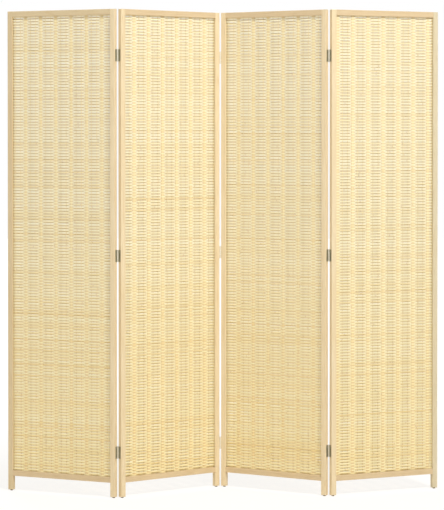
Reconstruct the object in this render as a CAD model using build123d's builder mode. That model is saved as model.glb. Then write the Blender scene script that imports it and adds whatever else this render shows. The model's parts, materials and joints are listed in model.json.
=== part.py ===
from build123d import *
from math import radians, sqrt, tan
import os

# A four-panel folding screen. Each panel is a pine frame around a mat woven of split
# bamboo, and the panels fold on three lines of small butt hinges, first one way and then
# the other. All sizes are in millimetres. The screen stands on Z = 0, zigzag, seen from -Y.

os.makedirs("parts", exist_ok=True)

# One panel, measured over its frame and from the floor.
panel_width = 450.0
panel_height = 1800.0
frame_thickness = 18.0
stile_face = 20.0
top_rail_face = 21.0
bottom_rail_face = 20.0
leg_opening = 56.0
edge_round = 1.5
end_chamfer = 0.6

# How far each panel is turned from the picture plane, in degrees, left to right.
panel_turns = [-24.0, 36.5, -30.5, 24.5]

# Which face of the panels each line of knuckles stands on: 1 is the back, -1 the front.
knuckle_sides = [1, -1, 1]

# The recess that takes the mat from behind, and the beads that close it.
lip_thickness = 7.0
rebate_depth = 6.0
mat_play = 0.1
mat_edge_gap = 1.0
bead_play = 0.1
bead_round = 0.8

# The woven mat, and the upright strips and sticks that its slivers run over and under.
mat_thickness = 4.8
strip_width = 10.0
strip_thickness = 2.6
strip_pitch = 64.0
stick_diameter = 3.0
stick_spread = 22.0
warp_play = 0.1
warp_margin = 7.0

# The gaps between the slivers, gathered into a plain grid of slots, one slot across a bay.
slot_rows = 12
slot_height = 22.0
slot_wall = 2.0

# How far the first strip stands from the middle of each panel, left to right.
strip_offsets = [-25.0, -32.5, -25.0, -5.0]

# Dowels at the corners of the frame.
dowel_diameter = 8.0
dowel_in_stile = 12.0
dowel_in_rail = 16.0
dowel_play = 0.05
dowel_hole_spare = 0.5
dowel_chamfer = 0.8

# Brads that hold the beads.
brad_diameter = 1.2
brad_length = 14.0
brad_head_diameter = 2.2
brad_head_height = 0.6
brad_play = 0.05
brads_up = 5
brad_corner_up = 191.5
brads_across = 3
brad_corner_across = 55.0

# A glide under each leg, with its nail.
glide_diameter = 10.0
glide_height = 3.5
glide_chamfer = 0.7
glide_nail_diameter = 2.0
glide_nail_length = 12.0
glide_nail_play = 0.05

# The hinges: one near each end of a panel, and one a little under half-way between them.
hinge_above_floor = 167.0
hinge_below_top = 170.0
middle_hinge_drop = 6.5
leaf_height = 44.0
leaf_width = 15.0
leaf_thickness = 1.1
knuckle_diameter = 4.4
knuckle_count = 5
knuckle_gap = 0.3
knuckle_clearance = 0.3
pin_diameter = 2.2
pin_play = 0.05
pin_head_diameter = 3.6
pin_head_height = 0.8

# Countersunk screws, two in each leaf.
screw_diameter = 2.6
screw_head_diameter = 4.6
screw_length = 12.0
screw_tip = 2.5
screw_point_diameter = 0.5
screw_head_angle = 90.0
screw_spacing = 29.0
screw_play = 0.05
cross_length = 2.6
cross_width = 0.6
cross_depth = 0.45

# Worked out from the sizes above. A leaf is rolled tangent to its knuckle, so the panels
# stand one knuckle apart, and the axis stands off the face by what lets a knuckle pass
# the corner of the other panel's stile.
half_width = panel_width / 2
half_thickness = frame_thickness / 2
opening_half = half_width - stile_face
top_rail_low = panel_height - top_rail_face
bottom_rail_high = leg_opening + bottom_rail_face
frame_middle = (top_rail_low + bottom_rail_high) / 2
opening_height = top_rail_low - bottom_rail_high
lip_back = -half_thickness + lip_thickness
mat_front = lip_back + mat_play
mat_middle = mat_front + mat_thickness / 2
bead_front = mat_front + mat_thickness + bead_play
bead_depth = half_thickness - bead_front
bead_middle = (bead_front + half_thickness) / 2
mat_half = opening_half + rebate_depth - mat_edge_gap
mat_height = opening_height + 2 * (rebate_depth - mat_edge_gap)
mat_low = frame_middle - mat_height / 2
slot_pitch = opening_height / slot_rows
knuckle_radius = knuckle_diameter / 2
clear_radius = knuckle_radius + knuckle_clearance
axis_reach = half_width + knuckle_radius
axis_stand_off = sqrt(clear_radius**2 - knuckle_radius**2)
leaf_notch = sqrt(clear_radius**2 - (knuckle_radius - leaf_thickness) ** 2)
knuckle_pitch = leaf_height / knuckle_count
screw_head_height = (screw_head_diameter - screw_diameter) / 2 / tan(radians(screw_head_angle / 2))


def standing_plane(origin, turn):
    """A panel's own plane: x along the panel, y towards its back, z up."""
    return Plane(origin=origin, x_dir=Vector(1, 0, 0).rotate(Axis.Z, turn), z_dir=(0, 0, 1))


def axis_point(end, side):
    """Where a hinge line stands in a panel: end -1 is its left, side 1 its back."""
    return Vector(end * axis_reach, side * (half_thickness + axis_stand_off), 0)


def plane_at(panel, point, normal):
    """A plane at a point of a panel, with its x towards the panel's back."""
    return Plane(origin=panel.from_local_coords(point), x_dir=panel.y_dir, z_dir=normal)


def keep(builder, name):
    """Label a finished piece and write it."""
    builder.part.label = name
    export_step(builder.part, f"parts/{name}.step")


# The panels are hung on one another from the left, and the whole is then centred on the
# box around the rounded corners of the stiles.
loose_origins = [Vector(0, 0, 0)]
for line, side in enumerate(knuckle_sides):
    left_plane = standing_plane(loose_origins[line], panel_turns[line])
    hinge_point = left_plane.from_local_coords(axis_point(1, side))
    right_plane = standing_plane((0, 0, 0), panel_turns[line + 1])
    loose_origins.append(hinge_point - right_plane.from_local_coords(axis_point(-1, side)))

corner_points = []
for origin, turn in zip(loose_origins, panel_turns):
    for end in (-1, 1):
        for side in (-1, 1):
            corner = Vector(end * (half_width - edge_round), side * (half_thickness - edge_round), 0)
            corner_points.append(standing_plane(origin, turn).from_local_coords(corner))
centre_x = (min(point.X for point in corner_points) + max(point.X for point in corner_points)) / 2
centre_y = (min(point.Y for point in corner_points) + max(point.Y for point in corner_points)) / 2
centre = Vector(centre_x, centre_y, 0)

panels = [standing_plane(origin - centre, turn) for origin, turn in zip(loose_origins, panel_turns)]

# The heights of the two dowels in a stile, each in the full depth of its rail.
dowel_heights = [
    (leg_opening + bottom_rail_high - rebate_depth) / 2,
    (panel_height + top_rail_low + rebate_depth) / 2,
]

# The brads stand evenly between the first and the last of a side.
brad_pitch_up = (opening_height - 2 * brad_corner_up) / (brads_up - 1)
brad_pitch_across = 2 * (opening_half - brad_corner_across) / (brads_across - 1)
brad_heights = [bottom_rail_high + brad_corner_up + i * brad_pitch_up for i in range(brads_up)]
brad_places = [brad_corner_across - opening_half + i * brad_pitch_across for i in range(brads_across)]

# The heights of the three hinges of a line.
middle_hinge = (hinge_above_floor + panel_height - hinge_below_top) / 2 - middle_hinge_drop
hinge_heights = [hinge_above_floor, middle_hinge, panel_height - hinge_below_top]


def make_stile(panel, end, hinge_sides, name):
    """A full-height upright. Its recess for the mat stops short of both ends."""
    middle = end * (half_width - stile_face / 2)
    inward = panel.x_dir * -end
    outward = panel.x_dir * end
    with BuildPart() as stile:
        with BuildSketch(panel.offset(glide_height)):
            with Locations((middle, 0)):
                RectangleRounded(stile_face, frame_thickness, edge_round)
        extrude(amount=panel_height - glide_height)
        chamfer(stile.faces().sort_by(Axis.Z)[0].edges(), end_chamfer)
        chamfer(stile.faces().sort_by(Axis.Z)[-1].edges(), end_chamfer)
        with BuildSketch(panel.offset(bottom_rail_high - rebate_depth)):
            with Locations((end * (opening_half + rebate_depth / 2), (lip_back + half_thickness) / 2)):
                Rectangle(rebate_depth, half_thickness - lip_back)
        extrude(amount=opening_height + 2 * rebate_depth, mode=Mode.SUBTRACT)
        dowel_points = [(end * opening_half, 0, height) for height in dowel_heights]
        with Locations([plane_at(panel, point, inward) for point in dowel_points]):
            Hole(dowel_diameter / 2 + dowel_play, depth=dowel_in_stile + dowel_hole_spare)
        brad_points = [(end * opening_half, bead_middle, height) for height in brad_heights]
        with Locations([plane_at(panel, point, inward) for point in brad_points]):
            Hole(brad_diameter / 2 + brad_play, depth=brad_length + brad_play)
        with Locations(plane_at(panel, (middle, 0, glide_height), Vector(0, 0, -1))):
            Hole(glide_nail_diameter / 2 + glide_nail_play, depth=glide_nail_length + glide_nail_play)
        for side in hinge_sides:
            points = screw_points(end, side, half_width)
            with Locations([plane_at(panel, point, outward) for point in points]):
                Hole(screw_diameter / 2 + screw_play, depth=screw_length)
    keep(stile, name)


def make_rail(panel, low, face, recess_above, name):
    """A rail between the stiles, recessed along the edge that meets the mat."""
    middle_height = low + face / 2
    recess_middle = middle_height + recess_above * (face - rebate_depth) / 2
    outer_middle = middle_height - recess_above * rebate_depth / 2
    with BuildPart() as rail:
        with BuildSketch(plane_at(panel, (-opening_half, 0, 0), panel.x_dir)):
            with Locations((0, middle_height)):
                RectangleRounded(frame_thickness, face, edge_round)
            with Locations(((lip_back + half_thickness) / 2, recess_middle)):
                Rectangle(half_thickness - lip_back, rebate_depth, mode=Mode.SUBTRACT)
        extrude(amount=2 * opening_half)
        dowel_ends = [(end * opening_half, 0, outer_middle) for end in (-1, 1)]
        with Locations([plane_at(panel, point, panel.x_dir * point[0]) for point in dowel_ends]):
            Hole(dowel_diameter / 2 + dowel_play, depth=dowel_in_rail + dowel_hole_spare)
        edge_height = middle_height + recess_above * face / 2
        brad_points = [(place, bead_middle, edge_height) for place in brad_places]
        with Locations([plane_at(panel, point, Vector(0, 0, recess_above)) for point in brad_points]):
            Hole(brad_diameter / 2 + brad_play, depth=brad_length + brad_play)
    keep(rail, name)


def make_dowels(panel, name):
    """Four dowels, each half in a stile and half in a rail."""
    with BuildPart() as dowels:
        for end in (-1, 1):
            for height in dowel_heights:
                start = (end * (opening_half - dowel_in_rail), 0, height)
                with BuildSketch(plane_at(panel, start, panel.x_dir * end)):
                    Circle(dowel_diameter / 2)
                extrude(amount=dowel_in_rail + dowel_in_stile)
        chamfer(dowels.edges().filter_by(GeomType.CIRCLE), dowel_chamfer)
    keep(dowels, name)


def strip_places(offset):
    """The middles of the broad strips that fit the mat, and of the bays between them."""
    reach = mat_half - warp_margin
    count = int(2 * reach / strip_pitch) + 2
    strips = [offset + i * strip_pitch for i in range(-count, count + 1)]
    bays = [place + strip_pitch / 2 for place in strips]
    sticks = [bay + half * stick_spread / 2 for bay in bays for half in (-1, 1)]
    strips = [place for place in strips if abs(place) < reach - strip_width / 2]
    sticks = [place for place in sticks if abs(place) < reach - stick_diameter / 2]
    return strips, sticks


def slot_spans(strips):
    """The middle and the width of the slot in each bay, between the strips and the frame."""
    edge = strip_width / 2 + warp_play
    starts = [-opening_half] + [place + edge for place in strips]
    ends = [place - edge for place in strips] + [opening_half]
    bays = [(start + slot_wall, end - slot_wall) for start, end in zip(starts, ends)]
    return [((start + end) / 2, end - start) for start, end in bays if end - start > slot_wall]


def make_mat(panel, offset, name):
    """The woven slivers as one slotted sheet, with an upright channel for each strip and stick."""
    strips, sticks = strip_places(offset)
    with BuildPart() as mat:
        with BuildSketch(panel.offset(mat_low)):
            with Locations((0, mat_middle)):
                Rectangle(2 * mat_half, mat_thickness)
            with Locations([(place, mat_middle) for place in strips]):
                channel_size = (strip_width + 2 * warp_play, strip_thickness + 2 * warp_play)
                Rectangle(*channel_size, mode=Mode.SUBTRACT)
            with Locations([(place, mat_middle) for place in sticks]):
                Circle(stick_diameter / 2 + warp_play, mode=Mode.SUBTRACT)
        extrude(amount=mat_height)
        middle_point = panel.from_local_coords((0, mat_front, frame_middle))
        with BuildSketch(Plane(origin=middle_point, x_dir=panel.x_dir, z_dir=-panel.y_dir)):
            for middle, width in slot_spans(strips):
                with Locations((middle, 0)):
                    with GridLocations(0, slot_pitch, 1, slot_rows):
                        Rectangle(width, slot_height)
        extrude(amount=-mat_thickness, mode=Mode.SUBTRACT)
    keep(mat, name)


def make_warps(panel, offset, name):
    """The broad strips and the paired sticks that stand inside the weave."""
    strips, sticks = strip_places(offset)
    with BuildPart() as warps:
        with BuildSketch(panel.offset(mat_low)):
            with Locations([(place, mat_middle) for place in strips]):
                Rectangle(strip_width, strip_thickness)
            with Locations([(place, mat_middle) for place in sticks]):
                Circle(stick_diameter / 2)
        extrude(amount=mat_height)
    keep(warps, name)


def brad_planes(panel):
    """A plane on the open edge of the beads for each brad, facing the opening."""
    planes = []
    for end in (-1, 1):
        for height in brad_heights:
            planes.append(plane_at(panel, (end * opening_half, bead_middle, height), panel.x_dir * -end))
    for up, height in ((1, bottom_rail_high), (-1, top_rail_low)):
        for place in brad_places:
            planes.append(plane_at(panel, (place, bead_middle, height), Vector(0, 0, up)))
    return planes


def make_beads(panel, name):
    """Four beads behind the mat: the uprights run through, the short ones fit between."""
    upright_length = opening_height + 2 * rebate_depth - 2 * bead_play
    with BuildPart() as beads:
        with BuildSketch(panel.offset(frame_middle - upright_length / 2)):
            with Locations(
                (opening_half + rebate_depth / 2 - bead_play / 2, bead_middle),
                (-opening_half - rebate_depth / 2 + bead_play / 2, bead_middle),
            ):
                RectangleRounded(rebate_depth - bead_play, bead_depth, bead_round)
        extrude(amount=upright_length)
        bead_shift = (rebate_depth - bead_play) / 2
        with BuildSketch(plane_at(panel, (-opening_half + bead_play, bead_middle, 0), panel.x_dir)):
            with Locations((0, bottom_rail_high - bead_shift), (0, top_rail_low + bead_shift)):
                RectangleRounded(bead_depth, rebate_depth - bead_play, bead_round)
        extrude(amount=2 * opening_half - 2 * bead_play)
        with Locations(brad_planes(panel)):
            CounterBoreHole(
                brad_diameter / 2 + brad_play,
                brad_head_diameter / 2 + brad_play,
                brad_head_height + brad_play,
                depth=rebate_depth + brad_play,
            )
    keep(beads, name)


def make_brads(panel, name):
    """The brads, driven from the opening through the beads into the frame."""
    top = (Align.CENTER, Align.CENTER, Align.MAX)
    with BuildPart() as brads:
        with Locations(brad_planes(panel)):
            Cylinder(brad_head_diameter / 2, brad_head_height, align=top)
            Cylinder(brad_diameter / 2, brad_length, align=top)
    keep(brads, name)


def make_glides(panel, name):
    """A round glide under each leg, each with a nail moulded in."""
    with BuildPart() as glides:
        with BuildSketch(panel):
            with Locations((half_width - stile_face / 2, 0), (stile_face / 2 - half_width, 0)):
                Circle(glide_diameter / 2)
        extrude(amount=glide_height)
        chamfer(glides.edges().group_by(Axis.Z)[0], glide_chamfer)
        with BuildSketch(panel.offset(glide_height)):
            with Locations((half_width - stile_face / 2, 0), (stile_face / 2 - half_width, 0)):
                Circle(glide_nail_diameter / 2)
        extrude(amount=glide_nail_length)
    keep(glides, name)


def screw_points(end, side, reach):
    """The middles of one line's screws, at a given reach from the panel's middle."""
    depth = side * (half_thickness + axis_stand_off - (leaf_notch + leaf_width) / 2)
    points = []
    for height in hinge_heights:
        for up in (-1, 1):
            points.append((end * reach, depth, height + up * screw_spacing / 2))
    return points


def make_leaves(panel, end, side, first_knuckle, name):
    """One panel's leaves on a hinge line, each rolled into every second knuckle."""
    axis = axis_point(end, side)
    plate_middle = end * (half_width + leaf_thickness / 2)
    with BuildPart() as leaves:
        for height in hinge_heights:
            with BuildSketch(panel.offset(height - leaf_height / 2)):
                with Locations((plate_middle, axis.Y - side * (leaf_notch + leaf_width) / 2)):
                    Rectangle(leaf_thickness, leaf_width - leaf_notch)
            extrude(amount=leaf_height)
            for turn in range(first_knuckle, knuckle_count, 2):
                low = height - leaf_height / 2 + turn * knuckle_pitch + knuckle_gap / 2
                with BuildSketch(panel.offset(low)):
                    with Locations((axis.X, axis.Y)):
                        Circle(knuckle_radius)
                    with Locations((plate_middle, axis.Y - side * leaf_notch / 2)):
                        Rectangle(leaf_thickness, leaf_notch)
                    with Locations((axis.X, axis.Y)):
                        Circle(pin_diameter / 2 + pin_play, mode=Mode.SUBTRACT)
                extrude(amount=knuckle_pitch - knuckle_gap)
        outer_points = screw_points(end, side, half_width + leaf_thickness)
        with Locations([plane_at(panel, point, panel.x_dir * end) for point in outer_points]):
            CounterSinkHole(
                screw_diameter / 2 + screw_play,
                screw_head_diameter / 2 + screw_play,
                depth=leaf_thickness,
                counter_sink_angle=screw_head_angle,
            )
    keep(leaves, name)


def make_screws(panel, end, side, name):
    """Cross-head countersunk screws, flush with the leaves that they hold."""
    top = (Align.CENTER, Align.CENTER, Align.MAX)
    shank_length = screw_length - screw_head_height - screw_tip
    outer_points = screw_points(end, side, half_width + leaf_thickness)
    planes = [plane_at(panel, point, panel.x_dir * end) for point in outer_points]
    with BuildPart() as screws:
        with Locations(planes):
            Cone(screw_diameter / 2, screw_head_diameter / 2, screw_head_height, align=top)
            Box(cross_length, cross_width, 2 * cross_depth, mode=Mode.SUBTRACT)
            Box(cross_width, cross_length, 2 * cross_depth, mode=Mode.SUBTRACT)
        with Locations([plane.offset(-screw_head_height) for plane in planes]):
            Cylinder(screw_diameter / 2, shank_length, align=top)
        with Locations([plane.offset(-screw_head_height - shank_length) for plane in planes]):
            Cone(screw_point_diameter / 2, screw_diameter / 2, screw_tip, align=top)
    keep(screws, name)


def make_pins(panel, side, name):
    """The pins of one line, headed over both ends of their hinges."""
    axis = axis_point(1, side)
    with BuildPart() as pins:
        for height in hinge_heights:
            with BuildSketch(panel.offset(height - leaf_height / 2)):
                with Locations((axis.X, axis.Y)):
                    Circle(pin_diameter / 2)
            extrude(amount=leaf_height)
            for low in (height - leaf_height / 2 - pin_head_height, height + leaf_height / 2):
                with BuildSketch(panel.offset(low)):
                    with Locations((axis.X, axis.Y)):
                        Circle(pin_head_diameter / 2)
                extrude(amount=pin_head_height)
    keep(pins, name)


# The sides that each stile's hinges stand on, for the left and the right stile in turn.
left_sides = [[]] + [[side] for side in knuckle_sides]
right_sides = [[side] for side in knuckle_sides] + [[]]

for number, panel in enumerate(panels, start=1):
    title = f"panel_{number}"
    offset = strip_offsets[number - 1]
    make_stile(panel, -1, left_sides[number - 1], f"{title}_left_stile")
    make_stile(panel, 1, right_sides[number - 1], f"{title}_right_stile")
    make_rail(panel, top_rail_low, top_rail_face, -1, f"{title}_top_rail")
    make_rail(panel, leg_opening, bottom_rail_face, 1, f"{title}_bottom_rail")
    make_dowels(panel, f"{title}_dowels")
    make_mat(panel, offset, f"{title}_woven_mat")
    make_warps(panel, offset, f"{title}_warp_sticks")
    make_beads(panel, f"{title}_mat_beads")
    make_brads(panel, f"{title}_bead_brads")
    make_glides(panel, f"{title}_glides")

# Each line's left leaves hold the end knuckles and the pin.
for line, side in enumerate(knuckle_sides):
    title = f"hinge_line_{line + 1}"
    left_panel = panels[line]
    right_panel = panels[line + 1]
    make_leaves(left_panel, 1, side, 0, f"{title}_left_leaves")
    make_leaves(right_panel, -1, side, 1, f"{title}_right_leaves")
    make_pins(left_panel, side, f"{title}_pins")
    make_screws(left_panel, 1, side, f"{title}_left_screws")
    make_screws(right_panel, -1, side, f"{title}_right_screws")
    axis_place = left_panel.from_local_coords(axis_point(1, side))
    fold = panel_turns[line + 1] - panel_turns[line]
    print(f"{title}: axis at {axis_place.X:.3f}, {axis_place.Y:.3f}, folded {fold:.1f} degrees from flat")

for number, panel in enumerate(panels, start=1):
    for end, word in ((-1, "left"), (1, "right")):
        foot = panel.from_local_coords((end * (half_width - stile_face / 2), 0, 0))
        print(f"panel_{number} {word} glide at {foot.X:.3f}, {foot.Y:.3f}")
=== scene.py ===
# %% [markdown]
# A folding screen of four panels. Each panel is a slim pine frame on two short legs, and
# holds a mat woven of split bamboo. The panels hang on one another by small steel hinges.
# The wooden pieces, the hinges and the feet come as solid parts, at their real size and
# place. This lesson gives them their finish, weaves the mats sliver by sliver, and lights
# the screen as for a catalogue page. It starts by loading those parts.

# %% Load the solid parts
import json
import math
import random

import bpy
import numpy as np
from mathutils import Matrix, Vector


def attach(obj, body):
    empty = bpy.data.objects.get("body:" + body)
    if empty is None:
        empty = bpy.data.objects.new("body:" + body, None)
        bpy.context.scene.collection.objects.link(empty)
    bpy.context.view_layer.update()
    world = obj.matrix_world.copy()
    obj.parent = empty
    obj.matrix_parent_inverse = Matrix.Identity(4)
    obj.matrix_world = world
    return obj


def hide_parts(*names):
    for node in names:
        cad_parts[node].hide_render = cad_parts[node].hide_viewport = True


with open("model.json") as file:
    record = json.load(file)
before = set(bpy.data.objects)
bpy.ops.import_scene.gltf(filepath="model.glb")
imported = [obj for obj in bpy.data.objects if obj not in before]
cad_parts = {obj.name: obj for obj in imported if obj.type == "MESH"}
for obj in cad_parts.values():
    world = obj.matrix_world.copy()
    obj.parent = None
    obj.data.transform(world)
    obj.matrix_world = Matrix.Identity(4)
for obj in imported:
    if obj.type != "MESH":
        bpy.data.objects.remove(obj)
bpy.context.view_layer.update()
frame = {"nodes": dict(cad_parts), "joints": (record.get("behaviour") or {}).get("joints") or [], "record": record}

nodes = frame["nodes"]
mm = 0.001

# %% [markdown]
# The panels stand in a zigzag, so nothing on them lies along X or Y. It is easier to work
# in a panel's own directions: along it from left to right, through it from front to back,
# and up. The record gives a point under each foot, and the two feet of a panel give all
# that is needed. Everything that is made later for a panel uses these directions.

# %% Find each panel's own directions
feet = {mount["name"]: Vector(mount["pos_m"]) for mount in frame["record"]["mounts"]}
panel_names = ["panel_1", "panel_2", "panel_3", "panel_4"]


def find_panel(name):
    """A panel's middle on the floor, its two level directions and how far it is turned."""
    left = feet[f"floor_{name}_left"]
    right = feet[f"floor_{name}_right"]
    along = (right - left).normalized()
    through = Vector((-along.y, along.x, 0))
    return {
        "name": name,
        "middle": (left + right) / 2,
        "along": along,
        "through": through,
        "turn": math.atan2(along.y, along.x),
    }


def in_panel(panel, points):
    """Points of the room as distances along, through and up a panel."""
    moved = np.asarray(points, float) - np.array(panel["middle"])
    axes = np.array([panel["along"], panel["through"], (0, 0, 1)])
    return moved @ axes.T


def in_room(panel, points):
    """The way back: distances in a panel as points of the room."""
    axes = np.array([panel["along"], panel["through"], (0, 0, 1)])
    return np.asarray(points, float) @ axes + np.array(panel["middle"])


panels = [find_panel(name) for name in panel_names]
for panel in panels:
    print(f"{panel['name']} is turned {math.degrees(panel['turn']):.1f} degrees")

# %% [markdown]
# The picture is taken from straight in front, from the height of a person's chest, and
# from far away: the panels' tops and bottoms run almost level and every upright edge is
# plumb. A camera that is tilted down makes upright edges lean together, so the camera is
# nearly level here and its film is shifted down instead, as in a view camera. The eye's
# height and distance come from how fast the rails of the turned panels run together.

# %% Set up the camera
picture_high = 510
eye = Vector((-0.005, -8.163, 1.337))
focal_pixels = 2185
horizon_below_top = 135
tilt_pixels = 36
film = 36.0

camera_data = bpy.data.cameras.new("camera")
camera_data.sensor_fit = "AUTO"
camera_data.sensor_width = film
camera_data.lens = focal_pixels / picture_high * film
camera_data.shift_y = (horizon_below_top + tilt_pixels - picture_high / 2) / picture_high
camera_data.clip_end = 100
camera = bpy.data.objects.new("camera", camera_data)
camera.location = eye
camera.rotation_euler = (math.radians(90) - math.atan(tilt_pixels / focal_pixels), 0, 0)
bpy.context.scene.collection.objects.link(camera)
bpy.context.scene.camera = camera
print(f"lens {camera_data.lens:.1f} mm, shift {camera_data.shift_y:.3f}")

# %% [markdown]
# A catalogue picture has a white ground that is not white paint: it is lit until it
# clips. Here the camera, a mirror and a glass see plain white, while the screen itself is
# lit by a gentler sky and by three lamps, so that its pale wood keeps its colour. The key
# hangs high and to the right, because a steep light gives every sliver of the mats a small
# shadow of its own. A weak fill opens the left side, and a third lamp lights the back.

# %% Light the room
scene = bpy.context.scene
scene.view_settings.view_transform = "Standard"
sky_strength = 0.36

world = bpy.data.worlds.new("studio")
scene.world = world
world.use_nodes = True
sky = world.node_tree
sky.nodes.clear()
rays = sky.nodes.new("ShaderNodeLightPath")
seen = sky.nodes.new("ShaderNodeMath")
seen.operation = "MAXIMUM"
sky.links.new(rays.outputs["Is Camera Ray"], seen.inputs[0])
sky.links.new(rays.outputs["Is Glossy Ray"], seen.inputs[1])
seen_through = sky.nodes.new("ShaderNodeMath")
seen_through.operation = "MAXIMUM"
sky.links.new(seen.outputs[0], seen_through.inputs[0])
sky.links.new(rays.outputs["Is Transmission Ray"], seen_through.inputs[1])
soft = sky.nodes.new("ShaderNodeBackground")
soft.inputs["Color"].default_value = (1.0, 0.985, 0.96, 1)
soft.inputs["Strength"].default_value = sky_strength
plain = sky.nodes.new("ShaderNodeBackground")
plain.inputs["Color"].default_value = (1, 1, 1, 1)
plain.inputs["Strength"].default_value = 1.0
either = sky.nodes.new("ShaderNodeMixShader")
sky.links.new(seen_through.outputs[0], either.inputs["Fac"])
sky.links.new(soft.outputs[0], either.inputs[1])
sky.links.new(plain.outputs[0], either.inputs[2])
out = sky.nodes.new("ShaderNodeOutputWorld")
sky.links.new(either.outputs[0], out.inputs["Surface"])


def hang_lamp(name, place, aim, size, power, colour):
    """A square soft box at a place, turned towards a point."""
    lamp = bpy.data.lights.new(name, "AREA")
    lamp.shape = "SQUARE"
    lamp.size = size
    lamp.energy = power
    lamp.color = colour
    hung = bpy.data.objects.new(name, lamp)
    hung.location = place
    hung.rotation_euler = (Vector(aim) - Vector(place)).to_track_quat("-Z", "Y").to_euler()
    scene.collection.objects.link(hung)
    return hung


screen_middle = (0, 0, 0.95)
hang_lamp("key", (2.5, -4.6, 6.6), screen_middle, 0.9, 430, (1.0, 0.985, 0.96))
hang_lamp("fill", (-4.2, -5.0, 2.2), screen_middle, 2.6, 45, (0.98, 0.99, 1.0))
hang_lamp("back", (-2.2, 5.2, 4.6), screen_middle, 2.2, 150, (1.0, 0.99, 0.97))
print("three soft boxes and a sky")

# %% [markdown]
# The floor is one large sheet. Its shader is a pale diffuse that takes the shadow, but the
# camera sees it mixed towards plain white: partly near the screen, where its shadow falls,
# and wholly a few metres off, so that no line shows where the sheet ends.

# %% Lay the floor
floor_size = 40.0
shadow_share = 0.3
shadow_near = 1.0
shadow_far = 3.0
floor_glow = 1.1

bpy.ops.object.select_all(action="DESELECT")
bpy.ops.mesh.primitive_plane_add(size=floor_size, location=(0, 0, 0))
floor = bpy.context.object
floor.name = "floor"
floor_paint = bpy.data.materials.new("floor_paint")
floor_paint.use_nodes = True
tree = floor_paint.node_tree
tree.nodes.clear()
rays = tree.nodes.new("ShaderNodeLightPath")
matt = tree.nodes.new("ShaderNodeBsdfDiffuse")
matt.inputs["Color"].default_value = (0.9, 0.85, 0.76, 1)
white = tree.nodes.new("ShaderNodeEmission")
white.inputs["Color"].default_value = (1, 1, 1, 1)
white.inputs["Strength"].default_value = floor_glow
place = tree.nodes.new("ShaderNodeTexCoord")
away = tree.nodes.new("ShaderNodeVectorMath")
away.operation = "LENGTH"
tree.links.new(place.outputs["Object"], away.inputs[0])
fade = tree.nodes.new("ShaderNodeMapRange")
fade.inputs["From Min"].default_value = shadow_near
fade.inputs["From Max"].default_value = shadow_far
fade.inputs["To Min"].default_value = 1 - shadow_share
tree.links.new(away.outputs["Value"], fade.inputs["Value"])
share = tree.nodes.new("ShaderNodeMath")
share.operation = "MULTIPLY"
tree.links.new(rays.outputs["Is Camera Ray"], share.inputs[0])
tree.links.new(fade.outputs["Result"], share.inputs[1])
mixed = tree.nodes.new("ShaderNodeMixShader")
tree.links.new(share.outputs[0], mixed.inputs["Fac"])
tree.links.new(matt.outputs[0], mixed.inputs[1])
tree.links.new(white.outputs[0], mixed.inputs[2])
out = tree.nodes.new("ShaderNodeOutputMaterial")
tree.links.new(mixed.outputs[0], out.inputs["Surface"])
floor.data.materials.append(floor_paint)
print(f"floor {floor_size:.0f} m across")

# %% [markdown]
# Every finish below is built of a few nodes, and some small helpers keep that short. One
# starts a material, one adds a node and sets it, and others add a noise, a ramp, a mix, a
# sum or a relief. One gives the coordinates of a panel: the Mapping node of type Texture
# takes the panel's middle away, turns the pattern back and divides by a grain's size, so
# that noise comes out long and thin along the wood.

# %% Helpers for the finishes


def start_finish(name):
    """A new material, its node tree and its shader."""
    made = bpy.data.materials.new(name)
    made.use_nodes = True
    return made, made.node_tree, made.node_tree.nodes["Principled BSDF"]


def add_node(tree, kind, settings=None, **inputs):
    """A node with its settings and its input values; an underscore stands for a space."""
    made = tree.nodes.new(kind)
    for key, value in (settings or {}).items():
        setattr(made, key, value)
    for key, value in inputs.items():
        made.inputs[key.replace("_", " ")].default_value = value
    return made


def panel_grain(tree, panel, size):
    """Coordinates along, through and up a panel, counted in grains of a given size."""
    place = add_node(tree, "ShaderNodeTexCoord")
    turned = add_node(tree, "ShaderNodeMapping", {"vector_type": "TEXTURE"})
    turned.inputs["Location"].default_value = panel["middle"]
    turned.inputs["Rotation"].default_value = (0, 0, panel["turn"])
    turned.inputs["Scale"].default_value = size
    tree.links.new(place.outputs["Object"], turned.inputs["Vector"])
    return turned.outputs["Vector"]


def noise(tree, where, detail=3.0, roughness=0.5):
    """A noise of unit size at the given coordinates, as a number about one half."""
    made = add_node(tree, "ShaderNodeTexNoise", Scale=1.0, Detail=detail, Roughness=roughness)
    tree.links.new(where, made.inputs["Vector"])
    return made.outputs["Fac"]


def ramp(tree, value, stops):
    """A colour or a grey for each stretch of a number."""
    made = add_node(tree, "ShaderNodeValToRGB")
    bar = made.color_ramp
    while len(bar.elements) < len(stops):
        bar.elements.new(0.5)
    for element, (place, colour) in zip(bar.elements, stops):
        element.position = place
        element.color = (*colour, 1)
    tree.links.new(value, made.inputs["Fac"])
    return made.outputs["Color"]


def mix(tree, share, first, second, way="MIX"):
    """Two colours mixed by a share, which is a number or a socket."""
    made = add_node(tree, "ShaderNodeMix", {"data_type": "RGBA", "blend_type": way})
    for key, value in (("Factor", share), ("A", first), ("B", second)):
        socket = [s for s in made.inputs if s.name == key and s.enabled][0]
        if hasattr(value, "is_output"):
            tree.links.new(value, socket)
        else:
            socket.default_value = value if key == "Factor" else (*value, 1)
    return [s for s in made.outputs if s.enabled][0]


def attribute(tree, name):
    """A number kept on a piece's own points."""
    made = add_node(tree, "ShaderNodeAttribute", {"attribute_name": name, "attribute_type": "GEOMETRY"})
    return made.outputs["Fac"]


def arithmetic(tree, way, first, second=0.0):
    """One sum on two numbers, each a value or a socket."""
    made = add_node(tree, "ShaderNodeMath", {"operation": way})
    for socket, value in zip(made.inputs, (first, second)):
        if hasattr(value, "is_output"):
            tree.links.new(value, socket)
        else:
            socket.default_value = value
    return made.outputs[0]


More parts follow.
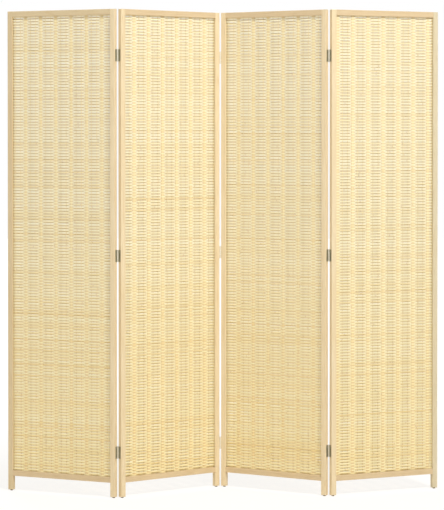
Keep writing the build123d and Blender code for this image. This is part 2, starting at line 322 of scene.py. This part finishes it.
def bump(tree, shader, height, depth, strength=1.0):
    """Turns a number into a relief of a given depth on the surface."""
    made = add_node(tree, "ShaderNodeBump", Strength=strength, Distance=depth)
    tree.links.new(height, made.inputs["Height"])
    tree.links.new(made.outputs["Normal"], shader.inputs["Normal"])


def srgb(red, green, blue):
    """A colour as read off a screen, from 0 to 255, as the shader's linear one."""
    shares = [c / 255 for c in (red, green, blue)]
    return tuple(s / 12.92 if s <= 0.04045 else ((s + 0.055) / 1.055) ** 2.4 for s in shares)


print("helpers ready")

# %% [markdown]
# The frame is pale pine under a clear satin lacquer. Pine shows soft bands of darker late
# wood that run with the grain, a few millimetres apart and gently wavy, and between them
# fine fibres. The bands come from a noise stretched along the piece and folded to and fro,
# and each piece is cut from another place of the same plank by shifting the pattern, so
# that no two stiles look alike. Uprights have their grain up, rails along. A piece may also
# have a tint of its own: the first stile and the first top rail are painted browner and
# darker, a painted shade for the far left end, which gets less light. The last stile is
# painted a little greyer, and the rails are all a little deeper than the stiles.

# %% Finish the frame in pine
pine_pale = srgb(240, 225, 194)
pine_warm = srgb(232, 212, 172)
pine_late = srgb(216, 188, 142)
grain_length = 620 * mm
grain_width = 12 * mm
bands_folded = 26.0
fibre_length = 50 * mm
fibre_width = 0.35 * mm
patch_size = (50 * mm, 50 * mm, 160 * mm)
plank_reach = 40
no_tint = (1, 1, 1)
# painted shade: the far left stile and top rail are made darker and browner, as they get less light
painted_left_shade = (0.85, 0.83, 0.78)
greyer_tint = (0.85, 0.9, 0.95)
rail_tint = (0.85, 0.8, 0.75)
own_tints = {
    "panel_1_left_stile": painted_left_shade,
    "panel_1_top_rail": painted_left_shade,
    "panel_4_right_stile": greyer_tint,
}


def pine_finish(name, panel, upright, tint, seed):
    """Lacquered pine with its grain up or along, cut from its own place of the plank."""
    chance = random.Random(seed)
    made, tree, shader = start_finish(name)
    if upright:
        broad = (grain_width, grain_width, grain_length)
        fine = (fibre_width, fibre_width, fibre_length)
    else:
        broad = (grain_length, grain_width, grain_width)
        fine = (fibre_length, fibre_width, fibre_width)
    shift = add_node(tree, "ShaderNodeVectorMath", {"operation": "ADD"})
    shift.inputs[1].default_value = [chance.uniform(-plank_reach, plank_reach) for _ in range(3)]
    tree.links.new(panel_grain(tree, panel, broad), shift.inputs[0])
    plank = noise(tree, shift.outputs[0], detail=2.0, roughness=0.35)
    folded = arithmetic(tree, "PINGPONG", arithmetic(tree, "MULTIPLY", plank, bands_folded), 1.0)
    fibres = noise(tree, panel_grain(tree, panel, fine), detail=4.0, roughness=0.6)
    patches = noise(tree, panel_grain(tree, panel, patch_size), detail=2.0)
    late = ramp(tree, folded, [(0.0, (0, 0, 0)), (0.62, (0.1, 0.1, 0.1)), (0.93, (1, 1, 1))])
    base = mix(tree, patches, pine_pale, pine_warm)
    late_share = arithmetic(tree, "MULTIPLY", late, chance.uniform(0.3, 0.5))
    banded = mix(tree, late_share, base, pine_late)
    fibre_tint = ramp(tree, fibres, [(0.3, (0.93, 0.91, 0.87)), (0.6, (1, 1, 1))])
    fibred = mix(tree, 1.0, banded, fibre_tint, "MULTIPLY")
    coloured = mix(tree, 1.0, fibred, tint, "MULTIPLY")
    tree.links.new(coloured, shader.inputs["Base Color"])
    sheen = ramp(tree, fibres, [(0.25, (0.56, 0.56, 0.56)), (0.75, (0.42, 0.42, 0.42))])
    tree.links.new(sheen, shader.inputs["Roughness"])
    shader.inputs["Specular IOR Level"].default_value = 0.4
    bump(tree, shader, fibres, 0.06 * mm, 0.5)
    return made


def dress(node_name, finish):
    """Puts one finish all over a solid part."""
    part = nodes[node_name]
    part.data.materials.clear()
    part.data.materials.append(finish)


first_seed = 100
seed = first_seed
for panel in panels:
    for piece, upright in (
        ("left_stile", True),
        ("right_stile", True),
        ("top_rail", False),
        ("bottom_rail", False),
    ):
        seed += 1
        name = f"{panel['name']}_{piece}"
        tint = own_tints.get(name, no_tint if upright else rail_tint)
        dress(name, pine_finish(f"{name}_pine", panel, upright, tint, seed))
    name = f"{panel['name']}_mat_beads"
    seed += 1
    dress(name, pine_finish(f"{name}_pine", panel, True, no_tint, seed))
print(f"{seed - first_seed} pieces of pine")

# %% [markdown]
# The mat is a plain weave. Its uprights are broad flat strips and, half-way between them,
# pairs of thin sticks. Level slivers of split bamboo run behind a strip and in front of
# the next pair, and the slivers above and below do the opposite. This is what makes the
# narrow and the wide columns of the mat. The uprights come as solid parts, so their
# places are measured from those parts: their points, sorted along the panel, fall into
# clusters. A strip has points at its two edges only, 10 mm apart, and the next stick is
# 14.5 mm away, so a gap of 12 mm tells one piece from the next.

# %% Find the uprights of each mat
cluster_gap = 12 * mm
broad_from = 6 * mm


def find_uprights(panel):
    """The middle, half the width and half the depth of each upright, left to right."""
    mesh = nodes[f"{panel['name']}_warp_sticks"].data
    points = in_panel(panel, [vertex.co for vertex in mesh.vertices])
    points = points[points[:, 0].argsort()]
    breaks = np.nonzero(np.diff(points[:, 0]) > cluster_gap)[0] + 1
    found = []
    for cluster in np.split(points, breaks):
        low = cluster.min(axis=0)
        high = cluster.max(axis=0)
        found.append(((low[0] + high[0]) / 2, (high[0] - low[0]) / 2, (high[1] - low[1]) / 2))
    return found


def find_columns(uprights):
    """Each column's first and last touch, its depth and whether it is a narrow one."""
    columns = []
    for middle, half_wide, half_deep in uprights:
        if 2 * half_wide > broad_from:
            columns.append([middle - half_wide, middle + half_wide, half_deep, True])
        elif columns and not columns[-1][3]:
            columns[-1][1] = middle
        else:
            columns.append([middle, middle, half_deep, False])
    return columns


for panel in panels:
    panel["columns"] = find_columns(find_uprights(panel))
    mat = nodes[f"{panel['name']}_woven_mat"].data
    mat_points = in_panel(panel, [vertex.co for vertex in mat.vertices])
    panel["mat_low"] = mat_points.min(axis=0)
    panel["mat_high"] = mat_points.max(axis=0)
    print(f"{panel['name']}: {len(panel['columns'])} columns, mat {mat_points.max(axis=0) / mm} mm")

# %% [markdown]
# One sliver is a long flat bar. It is added as a cube at its real size, and cut across by
# Bisect wherever it must bend: where it meets an upright and where it leaves it. Then the
# points over each upright are pushed to the front or to the back, and the stretches in
# between become slopes by themselves. The second sliver of a pair goes the other way. Each
# point also keeps a number for the finish, from 0 to 1: how far its face stands out of the
# mat on its own side, the front or the back.

# %% Model a pair of slivers
sliver_high_top = 4.2 * mm
sliver_high_bottom = 5.15 * mm
sliver_thick = 0.9 * mm
slivers_up = 320
strip_reach = 0.6 * mm
stick_reach = 7 * mm


def bend_places(columns, low, high):
    """Where a sliver bends, and how far its middle stands off there for the first kind."""
    places = []
    for first, last, half_deep, narrow in columns:
        stand_off = half_deep + sliver_thick / 2
        offset = stand_off if narrow else -stand_off
        reach = strip_reach if narrow else stick_reach
        places.append((max(first - reach, low + mm), offset))
        places.append((min(last + reach, high - mm), offset))
    return places


def model_sliver(name, panel, opposite):
    """A bar along X at the mat's lowest place, bent around the uprights of its panel."""
    low = panel["mat_low"]
    high = panel["mat_high"]
    places = bend_places(panel["columns"], low[0], high[0])
    middle_depth = (low[1] + high[1]) / 2
    pitch = (high[2] - low[2]) / slivers_up
    level = low[2] + pitch * (1.5 if opposite else 0.5)
    bpy.ops.object.select_all(action="DESELECT")
    bpy.ops.mesh.primitive_cube_add(
        size=1,
        location=((low[0] + high[0]) / 2, middle_depth, level),
        scale=(high[0] - low[0], sliver_thick, sliver_high_top),
    )
    bar = bpy.context.object
    bar.name = name
    bpy.ops.object.transform_apply(location=True, rotation=True, scale=True)
    bpy.ops.object.mode_set(mode="EDIT")
    for place, _ in places:
        bpy.ops.mesh.select_all(action="SELECT")
        bpy.ops.mesh.bisect(plane_co=(place, 0, 0), plane_no=(1, 0, 0))
    bpy.ops.object.mode_set(mode="OBJECT")
    stops = [place for place, _ in places]
    offsets = [-offset if opposite else offset for _, offset in places]
    furthest = max(abs(offset) for offset in offsets)
    # this raised number also sets the painted shade on the sunk stretches in the finish
    raised = bar.data.attributes.new("raised", "FLOAT", "POINT")
    for vertex in bar.data.vertices:
        side = 1 if vertex.co.y > middle_depth else -1
        shift = float(np.interp(vertex.co.x, stops, offsets))
        raised.data[vertex.index].value = 0.5 + 0.5 * side * shift / furthest
        vertex.co.y += shift
    return bar


def model_pair(panel):
    """The two kinds of sliver that lie one above the other, as one object."""
    first = model_sliver("sliver_over", panel, False)
    second = model_sliver("sliver_under", panel, True)
    bpy.ops.object.select_all(action="DESELECT")
    first.select_set(True)
    second.select_set(True)
    bpy.context.view_layer.objects.active = first
    bpy.ops.object.join()
    return first


# %% [markdown]
# The mat repeats that pair from the bottom to the top, and an Array modifier does it in
# one step. Less light shows between the slivers lower down, so each is made a shade
# taller than the one above it. Hand-split bamboo is never even, so each sliver is also
# given its own small faults: it runs a little askew, bows, and is a little taller or lower
# than the next. Two more numbers are kept on each sliver's points for its finish: its
# tone, and where along it the knot of the cane falls.

# %% Weave the four mats
tilt_most = 0.16 * mm
bow_most = 0.12 * mm
high_spread = 0.05
tone_evenness = 2.2
knot_spacing = 330 * mm
smooth_below = math.radians(35)
first_mat_seed = 7


def weave_mat(panel, seed):
    """A whole mat in its frame, of single slivers with small faults."""
    chance = np.random.default_rng(seed)
    mat = model_pair(panel)
    mat.name = f"{panel['name']}_weave"
    mat.data.name = mat.name
    points_each = len(mat.data.vertices) // 2
    low = panel["mat_low"]
    high = panel["mat_high"]
    pitch = (high[2] - low[2]) / slivers_up
    rows = mat.modifiers.new("rows", "ARRAY")
    rows.use_relative_offset = False
    rows.use_constant_offset = True
    rows.constant_offset_displace = (0, 0, 2 * pitch)
    rows.count = slivers_up // 2
    bpy.ops.object.modifier_apply(modifier=rows.name)

    points = np.empty(len(mat.data.vertices) * 3)
    mat.data.vertices.foreach_get("co", points)
    points = points.reshape(slivers_up, points_each, 3)
    across = points[:, :, 0] / high[0]
    middles = points[:, :, 2].mean(axis=1, keepdims=True)
    growth = np.linspace(sliver_high_bottom / sliver_high_top, 1, slivers_up)[:, None]
    tall = growth * (1 + high_spread * chance.uniform(-1, 1, (slivers_up, 1)))
    tilt = tilt_most * chance.uniform(-1, 1, (slivers_up, 1))
    bow = bow_most * chance.uniform(-1, 1, (slivers_up, 1))
    lift = tilt * across + bow * (1 - 2 * across**2)
    lift[0] = 0
    lift[-1] = 0
    tall[0] = 1
    tall[-1] = 1
    points[:, :, 2] = middles + (points[:, :, 2] - middles) * tall + lift
    tones = chance.beta(tone_evenness, tone_evenness, slivers_up)
    knots = chance.uniform(-0.5, 0.5, slivers_up) * knot_spacing
    local = points.reshape(-1, 3)
    mat.data.vertices.foreach_set("co", in_room(panel, local).ravel())
    for name, values in (("tone", tones), ("knot", knots)):
        kept = mat.data.attributes.new(name, "FLOAT", "POINT")
        kept.data.foreach_set("value", np.repeat(values, points_each).astype(np.float32))
    mat.data.update()
    bpy.ops.object.shade_smooth_by_angle(angle=smooth_below)
    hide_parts(f"{panel['name']}_woven_mat")
    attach(mat, panel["name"])
    return mat


mats = [weave_mat(panel, seed) for seed, panel in enumerate(panels, start=first_mat_seed)]
for mat in mats:
    print(f"{mat.name}: {len(mat.data.polygons)} faces")

# %% [markdown]
# Split bamboo is pale straw, with fibres that run dead straight from end to end. Each
# sliver has its own tone, from nearly white to a warm tan, and every third of a metre the
# cane had a knot, which leaves a short darker mark. The fibres are a noise stretched far
# along the panel, the tone and the knot come from the numbers kept on the points. Where a
# sliver sinks behind an upright it is painted a shade darker, which stands in for the
# shade that the weave holds there. Towards the floor that painted shade weakens, and the
# whole mat is painted a little darker and yellower, a painted shade for the dimmer, warmer
# light near the floor.

# %% Finish the slivers in bamboo
bamboo_pale = srgb(255, 250, 218)
bamboo_warm = srgb(253, 242, 199)
bamboo_tan = srgb(244, 225, 170)
bamboo_knot = srgb(196, 150, 88)
# painted shade for the sunk stretches, and how much of it is left near the floor
sunk = (0.84, 0.77, 0.64)
sunk_share_low = (0.35, 0.35, 0.35)
# painted shade near the floor: the mat turns a little darker and yellower towards the floor
floor_shade_tint = (1.0, 0.97, 0.88)
floor_shade_from = 0.15
floor_shade_to = 1.0
sliver_fibre = (45 * mm, 2 * mm, 0.5 * mm)
sliver_streak = (160 * mm, 4 * mm, 2.4 * mm)
knot_length = 4 * mm


def floor_shade_ramp(tree, low_tint):
    """A tint that is full near the floor and fades out with the height, in metres; it paints the shade near the
    floor.
    """
    place = add_node(tree, "ShaderNodeTexCoord")
    split = add_node(tree, "ShaderNodeSeparateXYZ")
    tree.links.new(place.outputs["Object"], split.inputs[0])
    return ramp(tree, split.outputs["Z"], [(floor_shade_from, low_tint), (floor_shade_to, (1, 1, 1))])


def bamboo_finish(name, panel):
    """Split bamboo for the level slivers of one panel."""
    made, tree, shader = start_finish(name)
    fibres = noise(tree, panel_grain(tree, panel, sliver_fibre), detail=4.0, roughness=0.65)
    streaks = noise(tree, panel_grain(tree, panel, sliver_streak), detail=2.0)
    tone = attribute(tree, "tone")
    toned = ramp(tree, tone, [(0.05, bamboo_pale), (0.7, bamboo_warm), (1.0, bamboo_tan)])
    streaked = mix(tree, arithmetic(tree, "MULTIPLY", streaks, 0.3), toned, bamboo_tan)
    fibre_tint = ramp(tree, fibres, [(0.3, (0.93, 0.91, 0.86)), (0.62, (1, 1, 1))])
    fibred = mix(tree, 0.8, streaked, fibre_tint, "MULTIPLY")
    # painted shade on the sunk stretches of each sliver, weaker near the floor
    sunk_tint = ramp(tree, attribute(tree, "raised"), [(0.15, sunk), (0.8, (1, 1, 1))])
    sunk_shaded = mix(tree, floor_shade_ramp(tree, sunk_share_low), fibred, sunk_tint, "MULTIPLY")
    floor_shaded = mix(tree, 1.0, sunk_shaded, floor_shade_ramp(tree, floor_shade_tint), "MULTIPLY")
    along = add_node(tree, "ShaderNodeSeparateXYZ")
    tree.links.new(panel_grain(tree, panel, (1, 1, 1)), along.inputs[0])
    from_knot = arithmetic(tree, "SUBTRACT", along.outputs["X"], attribute(tree, "knot"))
    wrapped = arithmetic(tree, "PINGPONG", from_knot, knot_spacing / 2)
    knot_near = arithmetic(tree, "DIVIDE", wrapped, knot_length)
    knot = ramp(tree, knot_near, [(0.0, (1, 1, 1)), (1.0, (0, 0, 0))])
    knotted = mix(tree, arithmetic(tree, "MULTIPLY", knot, 0.35), floor_shaded, bamboo_knot)
    tree.links.new(knotted, shader.inputs["Base Color"])
    gloss = ramp(tree, fibres, [(0.2, (0.62, 0.62, 0.62)), (0.8, (0.45, 0.45, 0.45))])
    tree.links.new(gloss, shader.inputs["Roughness"])
    shader.inputs["Specular IOR Level"].default_value = 0.35
    bump(tree, shader, fibres, 0.05 * mm, 0.5)
    return made


for panel, mat in zip(panels, mats):
    mat.data.materials.clear()
    mat.data.materials.append(bamboo_finish(f"{mat.name}_bamboo", panel))
print("bamboo on four mats")

# %% [markdown]
# The uprights inside the weave are bamboo too, split broader or drawn to round sticks,
# and their fibres run up. They show between the slivers. Their colour is painted a little
# deeper than the slivers', partly their own tone and partly a painted shade for the little
# light that reaches them there, and towards the floor they get a deeper painted shade than
# the slivers do.

# %% Finish the uprights
# partly painted shade: the uprights' bamboo tone is made deeper for the little light between the slivers
upright_pale = srgb(243, 227, 184)
upright_warm = srgb(236, 215, 164)
upright_floor_shade = (0.93, 0.85, 0.74)
upright_fibre = (0.6 * mm, 0.6 * mm, 60 * mm)
upright_patch = (17 * mm, 50 * mm, 500 * mm)


def upright_finish(name, panel):
    """Bamboo with its fibres up, for the strips and the sticks."""
    made, tree, shader = start_finish(name)
    fibres = noise(tree, panel_grain(tree, panel, upright_fibre), detail=4.0, roughness=0.6)
    pieces = noise(tree, panel_grain(tree, panel, upright_patch), detail=1.0)
    base = mix(tree, pieces, upright_pale, upright_warm)
    floor_shaded = mix(tree, 1.0, base, floor_shade_ramp(tree, upright_floor_shade), "MULTIPLY")
    tint = ramp(tree, fibres, [(0.3, (0.93, 0.91, 0.86)), (0.65, (1, 1, 1))])
    tree.links.new(mix(tree, 0.9, floor_shaded, tint, "MULTIPLY"), shader.inputs["Base Color"])
    gloss = ramp(tree, fibres, [(0.2, (0.6, 0.6, 0.6)), (0.8, (0.45, 0.45, 0.45))])
    tree.links.new(gloss, shader.inputs["Roughness"])
    bump(tree, shader, fibres, 0.08 * mm, 0.6)
    return made


for panel in panels:
    name = f"{panel['name']}_warp_sticks"
    dress(name, upright_finish(f"{name}_bamboo", panel))
    name = f"{panel['name']}_dowels"
    dress(name, upright_finish(f"{name}_wood", panel))
print("uprights and dowels finished")

# %% [markdown]
# The small steel parts are plated and a little dulled. Plate that has been handled is not
# even: it has faint cloudy stains. On a hinge the rolled knuckles are painted brighter than
# the flat leaves as a painted highlight, so the colour goes from dull to bright with the
# nearness to the hinge pin, and clouds change both the colour and the roughness.

# %% Finish the steel
clouds_per_metre = (260, 260, 180)
highlight_reach = 4 * mm
leaf_dull = srgb(176, 170, 146)
# the colour of the painted highlight on the hinge knuckles
plate_highlight = srgb(250, 248, 240)


def steel_finish(name, dull, bright, axis=None, rough=(0.5, 0.32)):
    """Plated steel, with a painted highlight round a hinge's axis if one is given."""
    made, tree, shader = start_finish(name)
    place = add_node(tree, "ShaderNodeTexCoord")
    clouds_at = add_node(tree, "ShaderNodeMapping")
    clouds_at.inputs["Scale"].default_value = clouds_per_metre
    tree.links.new(place.outputs["Object"], clouds_at.inputs["Vector"])
    clouds = noise(tree, clouds_at.outputs["Vector"], detail=4.0, roughness=0.6)
    if axis is None:
        stain_and_highlight = clouds
    else:
        centred = add_node(tree, "ShaderNodeMapping")
        centred.inputs["Location"].default_value = (-axis[0], -axis[1], 0)
        tree.links.new(place.outputs["Object"], centred.inputs["Vector"])
        flat = add_node(tree, "ShaderNodeVectorMath", {"operation": "MULTIPLY"})
        flat.inputs[1].default_value = (1, 1, 0)
        tree.links.new(centred.outputs["Vector"], flat.inputs[0])
        away = add_node(tree, "ShaderNodeVectorMath", {"operation": "LENGTH"})
        tree.links.new(flat.outputs["Vector"], away.inputs[0])
        nearness = arithmetic(tree, "DIVIDE", away.outputs["Value"], highlight_reach)
        # painted highlight on the rolled knuckle, brighter near the pin
        stain_and_highlight = ramp(tree, nearness, [(0.62, (1, 1, 1)), (0.95, (0, 0, 0))])
    base = mix(tree, stain_and_highlight, dull, bright)
    stain = ramp(tree, clouds, [(0.3, (0.8, 0.78, 0.73)), (0.6, (1, 1, 1))])
    stained = mix(tree, 0.5, base, stain, "MULTIPLY")
    tree.links.new(stained, shader.inputs["Base Color"])
    shader.inputs["Metallic"].default_value = 1.0
    sheen = ramp(tree, clouds, [(0.3, (rough[0],) * 3), (0.7, (rough[1],) * 3)])
    tree.links.new(sheen, shader.inputs["Roughness"])
    bump(tree, shader, clouds, 0.02 * mm, 0.4)
    return made


screw_steel = steel_finish("screw_steel", srgb(150, 146, 130), srgb(205, 202, 190))
pin_steel = steel_finish("pin_steel", srgb(170, 167, 152), srgb(215, 212, 202))
brad_steel = steel_finish("brad_steel", srgb(160, 158, 152), srgb(215, 214, 210))
for number, joint in enumerate(frame["joints"], start=1):
    line = f"hinge_line_{number}"
    plated = steel_finish(f"{line}_plate", leaf_dull, plate_highlight, joint["pos_m"])
    for side in ("left", "right"):
        dress(f"{line}_{side}_leaves", plated)
        dress(f"{line}_{side}_screws", screw_steel)
    dress(f"{line}_pins", pin_steel)
for panel in panels:
    dress(f"{panel['name']}_bead_brads", brad_steel)
print("nine hinges plated")

# %% [markdown]
# Under each leg sits a round glide of dark plastic. Moulded plastic has a fine grain and
# is scuffed paler where it meets the floor, which a ramp over the height paints.

# %% Finish the glides
grains_per_metre = (900, 900, 900)
glide_high = 3.5 * mm


def glide_finish():
    """Dark moulded plastic, scuffed near the floor."""
    made, tree, shader = start_finish("glide_plastic")
    place = add_node(tree, "ShaderNodeTexCoord")
    scaled = add_node(tree, "ShaderNodeMapping")
    scaled.inputs["Scale"].default_value = grains_per_metre
    tree.links.new(place.outputs["Object"], scaled.inputs["Vector"])
    grain = noise(tree, scaled.outputs["Vector"], detail=3.0)
    split = add_node(tree, "ShaderNodeSeparateXYZ")
    tree.links.new(place.outputs["Object"], split.inputs[0])
    height = arithmetic(tree, "DIVIDE", split.outputs["Z"], glide_high)
    scuff = ramp(tree, height, [(0.05, (1, 1, 1)), (0.35, (0, 0, 0))])
    speckled = mix(tree, grain, srgb(58, 48, 38), srgb(84, 72, 58))
    worn = mix(tree, arithmetic(tree, "MULTIPLY", scuff, 0.5), speckled, srgb(128, 116, 100))
    tree.links.new(worn, shader.inputs["Base Color"])
    shader.inputs["Roughness"].default_value = 0.55
    bump(tree, shader, grain, 0.05 * mm, 0.5)
    return made


dark_plastic = glide_finish()
for panel in panels:
    dress(f"{panel['name']}_glides", dark_plastic)
print("eight glides finished")
